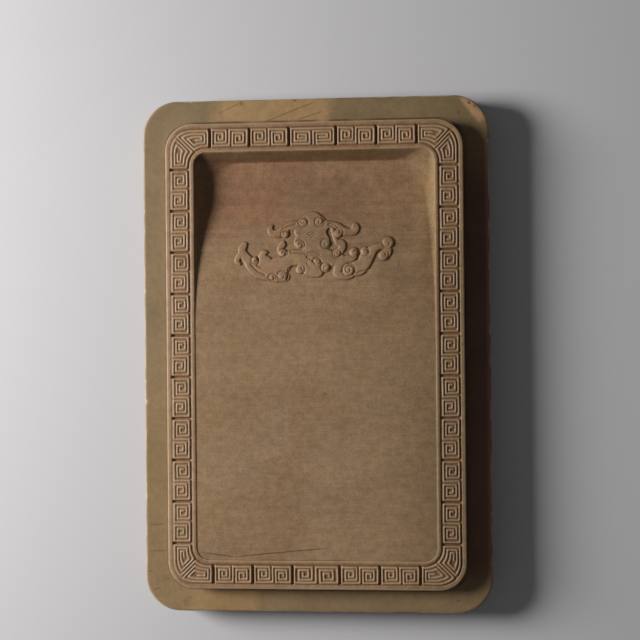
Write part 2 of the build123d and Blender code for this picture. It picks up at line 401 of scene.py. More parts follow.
# The section of the rim beside its carved top, from the foot up and round: (inset, height)
wall_line_height = 2.0
wall_top_wear_and_highlight = 0.5
wall_rows = (
    (0.0, foot_z + foot_round),
    (0.0, foot_z + wall_line_height),
    (0.0, flange_z),
    (0.0, rim_z - wall_line_height),
)
inner_rows = (
    (well_inset, rim_z - bead_fall - bead_lip),
    (well_inset, foot_z + hidden_ledge),
    (underside_border, foot_z + hidden_ledge),
    (underside_border, foot_z + underside_depth),
    (underside_border, foot_z + underside_round),
    (underside_border - underside_arris, foot_z + underside_arris),
    (underside_border - underside_round, foot_z),
    (underside_border / 2, foot_z),
    (foot_round, foot_z),
    (foot_round * 0.3, foot_z + foot_round * 0.3),
)


def loop_quads(count, rows, closed):
    """Faces between stations in a ring. A closed section also joins its last row to its first."""
    here = np.arange(count)[:, None] * rows
    beside = np.roll(here, -1, 0)
    row = np.arange(rows if closed else rows - 1)[None, :]
    above = (row + 1) % rows
    return np.stack([here + row, beside + row, beside + above, here + above], -1).reshape(-1, 4)


def make_ring():
    """The rim, walls and underside border of the stone, as vertices and quads."""
    top = rim_insets()
    wall_insets, wall_heights = zip(*wall_rows)
    inner_insets, inner_heights = zip(*inner_rows)
    xs, ys, masks, gaps = ring_grid(np.concatenate([wall_insets, top, inner_insets]))
    carved = np.zeros_like(xs)
    wear_and_highlight = np.zeros_like(xs)
    shift = np.zeros_like(xs)
    cut = slice(len(wall_rows), len(wall_rows) + len(top))
    carved[:, cut] = rim_depth(xs[:, cut], top, masks[:, cut], gaps[:, cut])
    wear_and_highlight[:, cut] = rim_wear_and_highlight(xs[:, cut], top, carved[:, cut])
    # The top line of the outer wall is lightened too: wear and painted highlight
    wear_and_highlight[:, cut.start - 1] = wall_top_wear_and_highlight
    shift[:, cut] = smooth((top - 0.5) / 0.8) * smooth((bead_inset - top) / 0.3)
    heights = np.concatenate([wall_heights, np.full(len(top), rim_z), inner_heights])
    zs = heights - carved - np.abs(waves(xs, ys, hand_z)) * shift
    moved_x = xs + waves(xs, ys, hand_x) * shift
    moved_y = ys + waves(xs, ys, hand_y) * shift
    verts = np.stack([moved_x, moved_y, zs], -1).reshape(-1, 3)
    return verts, loop_quads(*xs.shape, True), carved.reshape(-1), wear_and_highlight.reshape(-1)


# Well floor

def floor_depth(y):
    """Depth of the floor below the rim: level, a slope that steepens, a rounded foot, level."""
    share = np.clip((y - slope_start) / slope_length, 0, 1 + slope_foot_share)
    past = np.clip(share - 1 + slope_foot_share, 0, None)
    share = share - past**2 / (4 * slope_foot_share)
    return floor_step + (pool_depth - floor_step) * share**slope_power


def inside_outline(x, y, half_w, half_l, radius):
    """Distance inwards from the outline of a rounded rectangle."""
    qx = np.abs(x) - (half_w - radius)
    qy = np.abs(y) - (half_l - radius)
    outside = np.hypot(np.maximum(qx, 0), np.maximum(qy, 0))
    return radius - outside - np.minimum(np.maximum(qx, qy), 0)


def inside_well(x, y):
    return inside_outline(x, y, well_half_width, well_half_length, well_radius)


def side_cove(x, depth):
    """Width of the cove at the foot of the well's side walls."""
    return np.where(x > 0, right_cove_share, left_cove_share) * depth


def wall_share(x, y, depth):
    """0 on the floor and 1 at the rim: how far up the well's wall each place lies.

    The wall is a stack of rounded outlines that shrink and grow rounder towards
    the floor. The share is the outline that passes the place, found by halving.
    """
    beside = side_cove(x, depth)
    behind = np.where(y > 0, pool_end_cove, beside)
    gain = (pool_radius - well_radius) * depth / pool_depth
    foot_radius = well_radius + gain
    low = np.zeros(x.shape)
    high = np.ones(x.shape)
    for _ in range(14):
        share = (low + high) / 2
        half_w = well_half_width - beside * (1 - share)
        half_l = well_half_length - behind * (1 - share)
        radius = foot_radius + (well_radius - foot_radius) * share
        inward = inside_outline(x, y, half_w, half_l, radius)
        low = np.where(inward < 0, share, low)
        high = np.where(inward < 0, high, share)
    return np.where(high < 0.001, 0, high)


def floor_height(x, y):
    """Height of the well's floor and walls, with a faint lip before the end cove."""
    depth = floor_depth(y)
    foot = wall_share(x, y, depth)
    hollow = 1 - np.sqrt(1 - foot**2)
    steep = foot**end_wall_power
    beside = (well_half_width - np.abs(x)) / side_cove(x, depth)
    behind = (well_half_length - y) / pool_end_cove
    faces_end = smooth(0.5 + 0.6 * (beside - behind) / (0.3 + beside + behind)) * (y > 0)
    wall = hollow * (1 - faces_end) + steep * faces_end
    height = rim_z - depth + (depth - wall_top_drop) * wall
    lip = end_lip * np.exp(-(((behind - end_lip_place) / end_lip_width) ** 2))
    lip = lip * smooth((beside - 1) / 2)
    height = height + lip * smooth((end_lip_reach - x) / (2 * end_lip_reach))
    hidden = inside_well(x, y) < -hidden_reach
    return np.where(hidden, np.minimum(height, rim_z - hidden_drop), height)


# Steps of the well's mesh: over the mask, at most, and near the walls
fine_step = 0.14
coarse_step = 0.9
edge_step = 0.22
edge_width = 18 * edge_step
step_growth = 1.15


def steps_out(start, end):
    """Places from start to end, in steps that grow and are small again near the end."""
    places = [start]
    step = fine_step
    way = math.copysign(1, end - start)
    while abs(end - places[-1]) > 1e-6:
        left = abs(end - places[-1])
        step = edge_step if left < edge_width else min(step * step_growth, coarse_step)
        places.append(places[-1] + way * step if step < left else end)
    return places


def graded_lines(half, middle, size):
    """Grid lines from -half to half: fine over the mask and near both ends."""
    fine_low = middle - size / 2
    fine_high = middle + size / 2
    fine = list(np.arange(fine_low, fine_high, fine_step))
    return np.array(sorted(fine + steps_out(fine_low, -half)[1:] + steps_out(fine_high, half)))


# Beast mask of cloud scrolls. Places and radii count in steps of its drawing,
# from the middle of the mask, and x runs to the right. A point of a stroke is
# x, y and the stroke's radius there.
mask_width = 46.6
mask_step = mask_width / 13.4
mask_middle = Vector((-0.02, 30.96))
mask_size = Vector((mask_width + 1.6, 0.48 * mask_width))
mask_raise = 0.45
curl_raise = 0.55
body_edge = 0.15
curl_edge = 0.30
line_half = 0.05
line_depth = 0.19

face = (
    ((-0.05, 2.1, 0.6), (-0.1, 1.3, 1.05), (-0.1, 0.7, 1.15), (0.0, -0.1, 0.95)),
    ((0.0, -0.1, 0.95), (0.0, -0.8, 0.75), (0.1, -1.5, 0.55), (0.3, -2.15, 0.38)),
    ((-1.15, 1.75, 0.35), (-1.3, 1.3, 0.34), (-1.18, 0.95, 0.3), (-1.32, 0.5, 0.32),
     (-1.3, 0.2, 0.3)),
    ((0.9, 1.2, 0.3), (0.98, 0.8, 0.32), (1.12, 0.45, 0.3)),
    ((-2.1, -1.35, 0.3), (-1.6, -1.32, 0.26), (-1.1, -1.2, 0.3)),
)
crown = ((-0.85, 2.1, 0.4), (-0.55, 2.35, 0.4), (0.0, 2.47, 0.46), (0.55, 2.1, 0.42))
horns = (
    ((-0.95, 1.72, 0.5), (-1.75, 1.76, 0.4), (-2.5, 1.32, 0.42), (-3.1, 1.12, 0.33),
     (-3.5, 1.22, 0.3), (-3.6, 1.55, 0.24), (-3.42, 1.78, 0.1)),
    ((0.6, 1.75, 0.5), (1.3, 1.72, 0.42), (1.95, 1.55, 0.42), (2.4, 1.28, 0.38),
     (2.95, 1.16, 0.3), (3.36, 1.28, 0.34), (3.42, 1.6, 0.34), (3.3, 1.82, 0.14)),
)
brows = (
    ((-2.1, 1.35, 0.2), (-2.45, 1.3, 0.25), (-2.4, 1.05, 0.3)),
    ((1.3, 1.72, 0.3), (1.8, 1.45, 0.38), (1.98, 1.12, 0.4)),
    ((1.72, 1.35, 0.3), (1.75, 0.95, 0.24), (1.85, 0.45, 0.2)),
)
cheeks = (
    ((-2.42, 0.30, 0.22), (-2.55, 0.22, 0.30), (-2.76, -0.1, 0.27), (-2.72, -0.4, 0.25),
     (-2.5, -0.52, 0.32)),
    ((2.0, 0.3, 0.3), (2.3, 0.18, 0.36), (2.32, -0.2, 0.3), (1.95, -0.55, 0.33)),
)
jaws = (
    ((-2.3, -0.65, 0.3), (-1.6, -0.75, 0.5), (-0.8, -0.8, 0.6)),
    ((-1.2, -1.0, 0.45), (-0.95, -1.4, 0.4), (-0.6, -1.85, 0.42), (-0.1, -2.12, 0.4),
     (0.4, -2.1, 0.4)),
    ((0.8, -0.7, 0.6), (1.5, -1.0, 0.62), (2.3, -1.2, 0.5)),
)
left_wing = (
    ((-5.62, 0.3, 0.16), (-5.78, 0.14, 0.3), (-5.92, -0.35, 0.36), (-5.4, -1.05, 0.42),
     (-4.95, -1.5, 0.62),
     (-4.3, -1.85, 0.78), (-3.6, -1.9, 0.85), (-3.0, -1.75, 0.9), (-2.3, -1.2, 0.65)),
    ((-3.9, -1.2, 0.5), (-4.25, -0.85, 0.34), (-4.15, -0.5, 0.28), (-3.9, -0.42, 0.14)),
    ((-5.9, -0.45, 0.33), (-6.22, -0.8, 0.26), (-6.32, -1.12, 0.24), (-6.1, -1.34, 0.14)),
    ((-4.2, -2.4, 0.3), (-4.75, -2.42, 0.08)),
    ((-3.6, -2.4, 0.4), (-3.0, -2.45, 0.42), (-2.4, -2.45, 0.42)),
)
right_wing = (
    ((2.3, -1.25, 0.5), (2.05, -1.75, 0.4), (1.92, -2.2, 0.33), (2.35, -2.42, 0.33),
     (2.95, -2.3, 0.38), (3.2, -1.9, 0.3)),
    ((3.0, -1.5, 0.4), (3.6, -1.65, 0.5), (4.05, -1.5, 0.55), (4.4, -0.85, 0.58),
     (4.85, -0.35, 0.38), (5.4, -0.05, 0.28), (5.9, 0.05, 0.38)),
    ((3.3, -2.35, 0.12), (3.85, -2.1, 0.3), (4.3, -1.6, 0.32)),
    ((5.9, 0.05, 0.38), (6.08, -0.35, 0.33), (5.9, -0.7, 0.4), (5.65, -0.78, 0.36)),
    ((2.7, -1.1, 0.35), (3.2, -0.95, 0.34), (3.3, -0.5, 0.34)),
)
mask_bodies = face + (crown,) + horns + brows + cheeks + jaws + left_wing + right_wing

# Curls: middle x, y, radius, direction of the outer end of the spiral in degrees,
# turns (positive anticlockwise from the edge inwards)
mask_curls = (
    (-0.86, 2.08, 0.40, 330, 1.0),
    (0.50, 2.08, 0.40, 120, -1.0),
    (-2.35, 1.08, 0.34, 20, 0.7),
    (2.02, 1.12, 0.40, 160, -0.6),
    (-1.15, 0.16, 0.40, 180, 1.0),
    (1.02, 0.24, 0.40, 20, -0.7),
    (-2.52, -0.52, 0.36, 180, 1.1),
    (1.92, -0.60, 0.36, 40, -1.2),
    (-4.84, -1.04, 0.30, 60, -0.5),
    (6.10, 0.26, 0.50, 190, 0.45),
    (5.74, -0.80, 0.44, 150, -0.5),
    (4.20, -0.42, 0.36, 320, 0.45),
    (3.32, -0.50, 0.40, 320, 0.45),
    (2.88, -1.95, 0.54, 250, 1.5),
    (0.98, -1.72, 0.40, 20, -0.8),
    (-1.10, -1.86, 0.38, 180, -0.6),
    (-3.40, -2.50, 0.30, 200, 0.7),
    (-2.56, -2.40, 0.42, 180, 0.5),
)

# Lines cut into the mask
mask_lines = (
    ((-1.6, -1.62), (-1.85, -1.68), (-2.1, -1.9), (-2.08, -2.3), (-2.2, -2.7)),
    ((-4.6, -0.85), (-4.5, -1.2), (-4.65, -1.5), (-4.3, -1.68)),
    ((3.6, -0.2), (3.75, -0.6), (3.6, -1.0), (3.2, -1.3), (2.8, -1.4)),
    ((4.6, -1.95), (4.0, -2.05), (3.55, -2.2)),
    ((-0.7, -0.55), (-1.4, -0.5), (-1.9, -0.42)),
    ((-0.06, -1.24), (0.04, -0.99), (0.33, -0.95), (0.58, -1.14), (0.53, -1.39)),
    ((-0.56, -0.85), (-0.06, -1.19), (0.13, -1.44)),
    ((-1.5, 1.9), (-2.0, 1.75), (-2.6, 1.55)),
    ((1.3, 1.95), (1.75, 1.75), (2.0, 1.5)),
    ((1.2, 1.8), (1.6, 1.62), (1.85, 1.35)),
    ((-5.2, -1.35), (-4.7, -1.9), (-4.0, -2.3)),
)
mask_gaps = (
    ((-1.95, 1.28), (-1.72, 1.05), (-1.85, 0.75), (-2.2, 0.68)),
    ((1.28, 1.38), (1.2, 1.15), (1.42, 0.75), (1.5, 0.3), (1.45, 0.05), (1.75, -0.02)),
    ((-2.25, 0.45), (-2.05, 0.05), (-1.8, -0.1)),
)
gap_half = 0.15

# Fans of fine arcs on the forehead and the nose: middle x, y, outer radius, number
mask_fans = ((-0.18, 0.7, 0.6, 3), (-0.11, -1.17, 0.85, 5))
fan_half_angle = 62
fan_depth = 0.16
fan_raise = 0.05


def curve(points, pieces=6):
    """A smooth curve through the points, as closer points."""
    known = np.array([points[0], *points, points[-1]], float)
    made = []
    for a, b, c, d in zip(known, known[1:], known[2:], known[3:]):
        cubic = -a + 3 * b - 3 * c + d
        square = 2 * a - 5 * b + 4 * c - d
        for t in np.arange(pieces) / pieces:
            made.append((cubic * t**3 + square * t**2 + (c - a) * t) / 2 + b)
    return made + [known[-1]]


def reach_inside(x, y, points):
    """How far inside a stroke of changing width each place lies."""
    best = np.full(x.shape, -far_away)
    for start, end in zip(points, points[1:]):
        span = end - start
        run = max(span[0] ** 2 + span[1] ** 2, 1e-9)
        share = np.clip(((x - start[0]) * span[0] + (y - start[1]) * span[1]) / run, 0, 1)
        gap = np.hypot(x - start[0] - share * span[0], y - start[1] - share * span[1])
        radius = start[2] + share * span[2] if len(start) > 2 else 0
        best = np.maximum(best, radius - gap)
    return best


def rounded(inside, edge):
    share = np.clip(inside / edge, 0, 1)
    return np.sqrt(1 - (1 - share) ** 2)


def spiral_distance(x, y, curl):
    """Distance from the line of a curl, which runs from its edge to its middle."""
    middle_x, middle_y, radius, start, turns = curl
    around = np.arctan2(y - middle_y, x - middle_x) - math.radians(start)
    along = around * (1 if turns > 0 else -1) % (2 * math.pi)
    out = np.hypot(x - middle_x, y - middle_y)
    best = np.full(x.shape, far_away)
    for whole in range(3):
        turned = (along / (2 * math.pi) + whole) / abs(turns)
        gap = np.abs(out - radius * (1 - 0.92 * turned))
        best = np.where(turned <= 1, np.minimum(best, gap), best)
    return best


def with_curl(height, x, y, curl):
    """The mask's height with one curl: a low dome in a faint dip, and its spiral line."""
    middle_x, middle_y, radius = curl[:3]
    inside = radius - np.hypot(x - middle_x, y - middle_y)
    dip = 0.3 * np.exp(-(((inside + 0.02) / 0.05) ** 2))
    height = np.where(inside < 0.05, height * (1 - dip), height)
    height = np.maximum(height, curl_raise * rounded(inside, curl_edge))
    line = np.exp(-((spiral_distance(x, y, curl) / line_half) ** 2))
    return height - np.where(inside > 0.02, line_depth * line, 0)


def with_fan(height, x, y, fan):
    """The mask's height with one fan of arcs."""
    middle_x, middle_y, radius, count = fan
    out = np.hypot(x - middle_x, y - middle_y)
    lean = np.degrees(np.abs(np.arctan2(x - middle_x, y - middle_y)))
    share = smooth((fan_half_angle - lean) / 10) * smooth((radius + 0.08 - out) / 0.08)
    wave = 0.5 + 0.5 * np.cos(2 * math.pi * count * (out / radius - 1))
    return height - fan_depth * share * (1 - wave) + fan_raise * share


def mask_height(x, y):
    """Height of the beast mask above the floor of the well."""
    x = (x - mask_middle.x) / mask_step
    y = (y - mask_middle.y) / mask_step
    height = np.zeros(x.shape)
    for body in mask_bodies:
        inside = reach_inside(x, y, curve(body))
        domed = 0.68 * rounded(inside, body_edge) + 0.32 * rounded(inside, 5 * body_edge)
        height = np.maximum(height, mask_raise * domed)
    for gap in mask_gaps:
        inside = gap_half + reach_inside(x, y, curve(gap))
        height = height * (1 - smooth(inside / 0.12 + 0.4))
    for curl in mask_curls:
        height = with_curl(height, x, y, curl)
    for line in mask_lines:
        cut = np.exp(-((reach_inside(x, y, curve(line)) / (1.3 * line_half)) ** 2))
        height = height - line_depth * cut * smooth(height / 0.2)
    for fan in mask_fans:
        height = with_fan(height, x, y, fan)
    return np.maximum(height, 0)


def mask_recess_shade(raised):
    """How deep each place of the mask lies under the mean height around it, scaled as painted
    shade for its recesses.
    """
    mean = raised.copy()
    for _ in range(5):
        mean[1:-1] = (mean[:-2] + mean[1:-1] * 2 + mean[2:]) / 4
        mean[:, 1:-1] = (mean[:, :-2] + mean[:, 1:-1] * 2 + mean[:, 2:]) / 4
    return np.clip((mean - raised) * 4.5, 0, 0.6)


def floor_crease_shade(x, y):
    """How dark the painted shade is in the crease where the level floor meets the bead."""
    near = smooth((0.45 - inside_well(x, y)) / 0.4) * smooth(2 - floor_depth(y) / (2 * floor_step))
    return 0.34 * near * (0.75 + 0.5 * noise(x, y, 4.0, 22))


def make_slab():
    """The well floor on a closed slab that fills the middle of the rim."""
    x, y = np.meshgrid(
        graded_lines(well_half_width + slab_overlap, mask_middle.x, mask_size.x),
        graded_lines(well_half_length + slab_overlap, mask_middle.y, mask_size.y),
        indexing="ij",
    )
    raised = mask_height(x, y)
    z = floor_height(x, y) + raised + 0.02 * noise(x, y, 7.0, 21)
    top = np.stack([x, y, z], -1).reshape(-1, 3)
    index = np.arange(x.size).reshape(x.shape)
    a, b = index[:-1, :-1].ravel(), index[1:, :-1].ravel()
    c, d = index[1:, 1:].ravel(), index[:-1, 1:].ravel()
    edge = np.concatenate([index[:-1, 0], index[-1, :-1], index[:0:-1, -1], index[0, :0:-1]])
    below = len(top) + np.arange(len(edge))
    sides = np.stack([edge, below, np.roll(below, -1), np.roll(edge, -1)], -1)
    bottom = top[edge]
    bottom[:, 2] = foot_z + underside_depth
    # Painted shade in the mask's recesses and the floor's crease, stored with the rim's carved
    # depth
    hollow = np.maximum(mask_recess_shade(raised), floor_crease_shade(x, y))
    crest = smooth((raised - 0.7 * mask_raise) / (0.6 * mask_raise))
    hollow, crest = (np.append(values.ravel(), np.zeros(len(edge))) for values in (hollow, crest))
    quads = np.concatenate([np.stack([a, b, c, d], -1), sides])
    return np.concatenate([top, bottom]), quads, list(below[::-1]), hollow, crest


def add_object(name, data):
    made = bpy.data.objects.new(name, data)
    bpy.context.scene.collection.objects.link(made)
    return made


def mesh_object(name, verts, quads, extra_faces):
    mesh = bpy.data.meshes.new(name)
    faces = [tuple(int(i) for i in q) for q in quads] + [tuple(f) for f in extra_faces]
    mesh.from_pydata((verts * MM).tolist(), [], faces)
    mesh.update()
    mesh.polygons.foreach_set("use_smooth", np.ones(len(mesh.polygons), bool))
    return add_object(name, mesh)


def mark(piece, name, values):
    """Store one value per vertex for the piece's material."""
    layer = piece.data.attributes.new(name, "FLOAT", "POINT")
    layer.data.foreach_set("value", np.asarray(values, np.float32))


def make_ink_stone():
    ring_verts, ring_quads, carved, wear_and_highlight = make_ring()
    slab_verts, slab_quads, slab_bottom, hollow, crest = make_slab()
    shift = len(ring_verts)
    verts = np.concatenate([ring_verts, slab_verts])
    quads = np.concatenate([ring_quads, slab_quads + shift])
    bottom = [int(i) + shift for i in slab_bottom]
    piece = mesh_object("ink_stone_carved", verts, quads, [bottom])
    # The rim's carved depth and the slab's painted shade, which darken the colour in grooves and
    # hollows
    mark(piece, "cut", np.concatenate([carved, hollow]))
    # Rim wear and painted highlight, and the mask's crests a little lighter as painted highlight
    mark(piece, "wear_and_highlight", np.concatenate([wear_and_highlight, 0.12 * crest]))
    return piece


# Base: the flange round the seat of the stone, worn and chipped along its arrises

base_radius = 10.0
edge_round = 0.6
corner_steps = 26
side_step = 0.6
flange_line_step = 0.5
seat_clearance = 0.3
seat_floor_z = foot_z
seat_inset = (base_width - stone_width) / 2 - seat_clearance
seat_radius = stone_radius + seat_clearance
smallest_radius = 1.5
seat_arris = 0.15
seat_line_depth = 1.5
seat_foot_round = 0.4
seam_reach = 1.0
chip_count = 22
chip_sizes = (0.25, 0.8)
chip_depth_shares = (0.06, 0.22)
full_wear_depth = 0.1


def base_section():
    """(inset, height, share of wear and painted highlight, of undulation) of the lines round the
    base.
    """
    rows = [(24.0, 0, 0, 0), (4.0, 0, 0, 0.3), (1.2, 0, 0, 0.3)]
    for step in range(6):
        turn = step * math.pi / 10
        inset = edge_round * (1 - math.sin(turn))
        rows.append((inset, edge_round * (1 - math.cos(turn)), 0.3, 0.5))
    for share in (0.25, 0.5, 0.75):
        rows.append((0, edge_round + share * (flange_z - 2 * edge_round), 0, 1))
    for step in range(7):
        turn = step * math.pi / 12
        inset = edge_round * (1 - math.cos(turn))
        height = flange_z - edge_round * (1 - math.sin(turn))
        rows.append((inset, height, math.sin(2 * turn) ** 2, 1))
    for inset in np.arange(1.0, seat_inset - seam_reach - flange_line_step, flange_line_step):
        rows.append((inset, flange_z, 0, 1))
    for share in (1.3, 1.05, 0.85, 0.6):
        rows.append((seat_inset - share * seam_reach, flange_z, 0, 0.6))
    rows += [
        (seat_inset - 2 * seat_arris, flange_z, 0, 0.3),
        (seat_inset - seat_arris, flange_z, 0.6, 0),
        (seat_inset, flange_z - seat_arris, 0.6, 0),
        (seat_inset, flange_z - seat_line_depth, 0, 0),
        (seat_inset, seat_floor_z + seat_foot_round, 0, 0),
        (seat_inset + 0.3 * seat_foot_round, seat_floor_z + 0.3 * seat_foot_round, 0, 0),
    ]
    for reach in (seat_foot_round, 8.0, 20.0):
        rows.append((seat_inset + reach, seat_floor_z, 0, 0))
    return np.array(rows).T


def rounded_loop(width, length, inset, radius):
    """x, y of the stations round a rounded rectangle at each inset, anticlockwise."""
    middles = np.array([width / 2 - inset - radius, length / 2 - inset - radius])
    signs = np.array([[1, 1], [-1, 1], [-1, -1], [1, -1]])

    def on_corner(number, degrees):
        turn = math.radians(degrees)
        out = np.array([[math.cos(turn)], [math.sin(turn)]])
        return signs[number][:, None] * middles + out * radius

    stations = []
    for number, side in enumerate((width, length, width, length)):
        for step in range(corner_steps + 1):
            stations.append(on_corner(number, 90 * number + 90 * step / corner_steps))
        start = stations[-1]
        end = on_corner((number + 1) % 4, 90 * (number + 1) % 360)
        count = round((side - 2 * radius[0]) / side_step)
        for step in range(1, count):
            share = step / count
            stations.append(start * (1 - share) + end * share)
    return np.array(stations).transpose(1, 0, 2)


def with_chips(xs, ys, zs, arris, on_side):
    """Heights with small random chips along the arris, and the wear that they show."""
    rng = np.random.default_rng(36)
    wear = np.zeros_like(zs)
    for _ in range(chip_count):
        station = rng.integers(len(xs))
        size = rng.uniform(*chip_sizes)
        depth = rng.uniform(*chip_depth_shares) * size
        near = np.hypot(xs - xs[station, arris], ys - ys[station, arris])
        near = np.hypot(near, zs - zs[station, arris])
        dent = depth * np.exp(-((near / size) ** 2) * 2)
        zs = zs - dent * on_side
        wear += dent / full_wear_depth
    return zs, wear


def seam_darkening(xs, ys, insets, heights):
    """A darker band on the flange along the seam round the stone, most along its two short sides.
    """
    seam = smooth((insets - seat_inset + 1.1 * seam_reach) / (0.3 * seam_reach)) * (heights > 1)
    seam = seam * (0.3 + 0.7 * smooth((np.abs(ys) - stone_length / 2 + 6) / 5))
    return seam * smooth(0.75 + 0.9 * noise(xs, ys, 4.5, 37))


def make_base():
    insets, heights, wear, wave = base_section()
    radii = np.interp(insets, (0, seat_inset), (base_radius, seat_radius))
    radii = np.where(heights <= edge_round, base_radius - insets, radii)
    radii = np.maximum(radii, smallest_radius)
    xs, ys = rounded_loop(base_width, base_length, insets, radii)
    wear_and_highlight = wear * (0.75 + 0.5 * noise(xs, ys, 3.0, 31))
    sag = np.abs(waves(xs, ys, ((0.05, 19.0, 32), (0.02, 4.0, 33))))
    zs = heights - wave * (heights > 1) * sag
    pull = 0.05 * noise(xs, ys, 23.0, 34) + 0.025 * noise(xs + 40 * zs, ys, 3.0, 35)
    pull = wave * np.abs(pull)
    out = np.maximum(np.hypot(xs, ys), 1)
    xs -= pull * xs / out
    ys -= pull * ys / out
    zs, chipped = with_chips(xs, ys, zs, int(np.argmax(wear)), wave > 0)
    count, rows = xs.shape
    verts = np.stack([xs, ys, zs], -1).reshape(-1, 3)
    bottom = [int(k) * rows for k in range(count)][::-1]
    seat = [int(k) * rows + rows - 1 for k in range(count)]
    piece = mesh_object("base_worn", verts, loop_quads(count, rows, False), [bottom, seat])
    mark(piece, "wear_and_highlight", np.clip(wear_and_highlight + chipped, 0, 1.5).reshape(-1))
    mark(piece, "seam", seam_darkening(xs, ys, insets, heights).reshape(-1))
    return piece


# Materials

bump_depth = 0.035


class Stone:
    """A stone material, put together node by node from places in millimetres."""

    def __init__(self, name):
        self.material = bpy.data.materials.new(name)
        self.material.use_nodes = True
        self.tree = self.material.node_tree
        place = self.new("TexCoord", {}).outputs["Object"]
        self.place = self.vector("MULTIPLY", place, (1 / MM,) * 3)
        self.axes = self.split(self.place)

    def new(self, kind, values, **settings):
        """A new node with these settings, and with values by its sockets' names or numbers."""
        made = self.tree.nodes.new("ShaderNode" + kind)
        for name, value in settings.items():
            setattr(made, name, value)
        return self.fill(made, values)

    def fill(self, node, values):
        for key, value in values.items():
            socket = node.inputs[key]
            if isinstance(value, bpy.types.NodeSocket):
                self.tree.links.new(value, socket)
            elif socket.type == "RGBA":
                socket.default_value = (*value, 1)
            else:
                socket.default_value = value
        return node

    def vector(self, operation, first, second):
        return self.new("VectorMath", {0: first, 1: second}, operation=operation).outputs[0]

    def split(self, place):
        """The outputs X, Y and Z of a place."""
        return self.new("SeparateXYZ", {0: place}).outputs

    def noise(self, size, detail=3.0, roughness=0.5, distortion=0.0, stretch=(1, 1, 1)):
        """Noise about 0.5 with features of this size in millimetres."""
        place = self.vector("MULTIPLY", self.place, stretch)
        values = {"Vector": place, "Scale": 1 / size, "Detail": detail}
        values.update({"Roughness": roughness, "Distortion": distortion})
        return self.new("TexNoise", values).outputs["Fac"]

    def math(self, operation, *values):
        return self.new("Math", dict(enumerate(values)), operation=operation).outputs[0]

    def times(self, first, *others):
        for other in others:
            first = self.math("MULTIPLY", first, other)
        return first

    def rise(self, value, low, high, to_low=0.0, to_high=1.0):
        """The value turned smoothly from one range to another and held at its ends."""
        values = dict(enumerate((value, low, high, to_low, to_high)))
        return self.new("MapRange", values, interpolation_type="SMOOTHSTEP").outputs[0]

    def swing(self, value, amount, low=0.3, high=0.7):
        """A factor that a noise moves this far to both sides of 1."""
        return self.rise(value, low, high, 1 - amount, 1 + amount)

    def patch(self, *ramps):
        """1 in a patch with soft edges. A ramp is an axis, where it is 0 and where it is 1."""
        ends = []
        for axis, zero, full in ramps:
            if zero < full:
                ends.append(self.rise(self.axes[axis], zero, full))
            else:
                ends.append(self.rise(self.axes[axis], full, zero, 1.0, 0.0))
        return self.times(*ends)

    def mix(self, share, low, high, blend="MIX"):
        values = {0: share, 6: low, 7: high}
        return self.new("Mix", values, data_type="RGBA", blend_type=blend).outputs[2]

    def tint(self, share, colour, factors):
        """The colour, times these factors where the share is 1."""
        return self.mix(share, colour, self.mix(1.0, colour, factors, "MULTIPLY"))

    def dim(self, colour, factor):
        """The colour times one factor."""
        return self.new("VectorMath", {0: colour, "Scale": factor}, operation="SCALE").outputs[0]

    def attribute(self, name):
        return self.new("Attribute", {}, attribute_name=name).outputs["Fac"]

    def spot(self, middle, radius, height=None):
        """1 in a ragged spot on the stone, 0 beside it: a ball if it has a height."""
        moved = self.vector("ADD", self.place, (-middle[0], -middle[1], -(height or 0)))
        moved = self.vector("MULTIPLY", moved, (1, 1, 1 if height else 0))
        out = self.new("VectorMath", {0: moved}, operation="LENGTH").outputs["Value"]
        ragged = self.rise(self.noise(0.7 * radius), 0.3, 0.7, -0.5 * radius, 0.5 * radius)
        return self.rise(self.math("ADD", out, ragged), 0.3 * radius, radius, 1.0, 0.0)

    def stained(self, colour, stains, height=None):
        for middle, radius, share, stain in stains:
            spot = self.spot(middle, radius, height)
            colour = self.mix(self.times(spot, share), colour, stain)
        return colour

    def line(self, width, start, end, sway, length_fade):
        """1 on a thin wandering line between two places on the stone, 0 beside it."""
        run = Vector(end) - Vector(start)
        length = run.length
        fade = min(length_fade, 0.3 * length)
        along = run / length
        x, y, _ = self.split(self.vector("ADD", self.place, (-start[0], -start[1], 0)))
        s = self.math("ADD", self.times(x, along.x), self.times(y, along.y))
        t = self.math("ADD", self.times(x, -along.y), self.times(y, along.x))
        wander = self.times(self.math("SUBTRACT", self.noise(9.0, 2.0), 0.5), 2 * sway)
        beside = self.math("ABSOLUTE", self.math("ADD", t, wander))
        return self.times(
            self.rise(beside, 0.3 * width, width, 1.0, 0.0),
            self.rise(s, 0.0, fade),
            self.rise(s, length - fade, length, 1.0, 0.0),
        )

    def lines(self, width, rows):
        found = 0.0
        for row in rows:
            found = self.math("MAXIMUM", found, self.line(width, *row))
        return found

    def finish(self, colour, roughness, grain):
        """The material with this colour and roughness and a fine bump."""
        height = self.math("ADD", self.times(grain, 0.6), self.noise(1.4))
        values = {"Strength": 1.0, "Distance": bump_depth * MM, "Height": height}
        values = {"Normal": self.new("Bump", values).outputs[0], "Roughness": roughness}
        values.update({"Base Color": colour, "Specular IOR Level": 0.35})
        self.fill(self.tree.nodes["Principled BSDF"], values)
        return self.material


